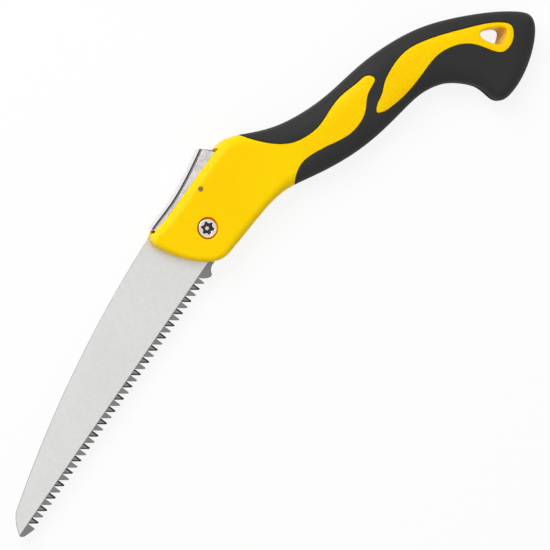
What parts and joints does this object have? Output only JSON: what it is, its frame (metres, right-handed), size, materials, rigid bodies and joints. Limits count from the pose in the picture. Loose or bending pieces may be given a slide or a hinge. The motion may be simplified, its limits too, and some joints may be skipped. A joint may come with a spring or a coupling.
{
  "type": "folding pruning saw",
  "caption": "Folding pruning saw: straight-toothed tapered blade, thumb lever lock on the head, and a curved hard handle with a soft overmoulded grip and lanyard hole.",
  "frame": {"origin": "middle of the saw's footprint, on the flat cheek that it lies on, with the blade open", "axes": "+X along the tooth line from the blade's nose towards the handle, +Y towards the blade's back and the thumb lever, +Z out of the cheek that holds the pivot screw's head"},
  "size_m": [0.4088, 0.1308, 0.019],
  "materials": {
    "yellow_plastic": "fine satin moulding",
    "soft_grip": "matt thermoplastic rubber",
    "blade_steel": "satin plated",
    "plated_steel": "bright nickel plating",
    "bright_steel": "bright zinc plating",
    "plain_steel": "turned",
    "spring_steel": "drawn wire"
  },
  "bodies": {
    "handle": {"handle_core": "yellow_plastic", "grip_overmould": "soft_grip", "pivot_screw": "bright_steel", "pivot_nut": "bright_steel", "pivot_bushing": "plain_steel", "spring_washer": "plain_steel", "blade_washer_front": "plain_steel", "blade_washer_back": "plain_steel", "lever_pin": "plain_steel", "lever_spring": "spring_steel"},
    "blade": {"blade": "blade_steel"},
    "lever": {"lock_lever": "plated_steel", "latch_pin": "plain_steel"}
  },
  "joints": [
    {"name": "blade_fold", "type": "hinge", "parent": "handle", "child": "blade", "pos_m": [-0.00685, 0.03676, 0.0095], "axis": [0, 0, 1], "range_deg": [0, 151]},
    {"name": "lever_press", "type": "hinge", "parent": "handle", "child": "lever", "pos_m": [0.00815, 0.05286, 0.0095], "axis": [0, 0, -1], "range_deg": [-4, 3.5], "stiffness_Nm_per_rad": 0.2, "deforming": ["lever_spring"]}
  ]
}
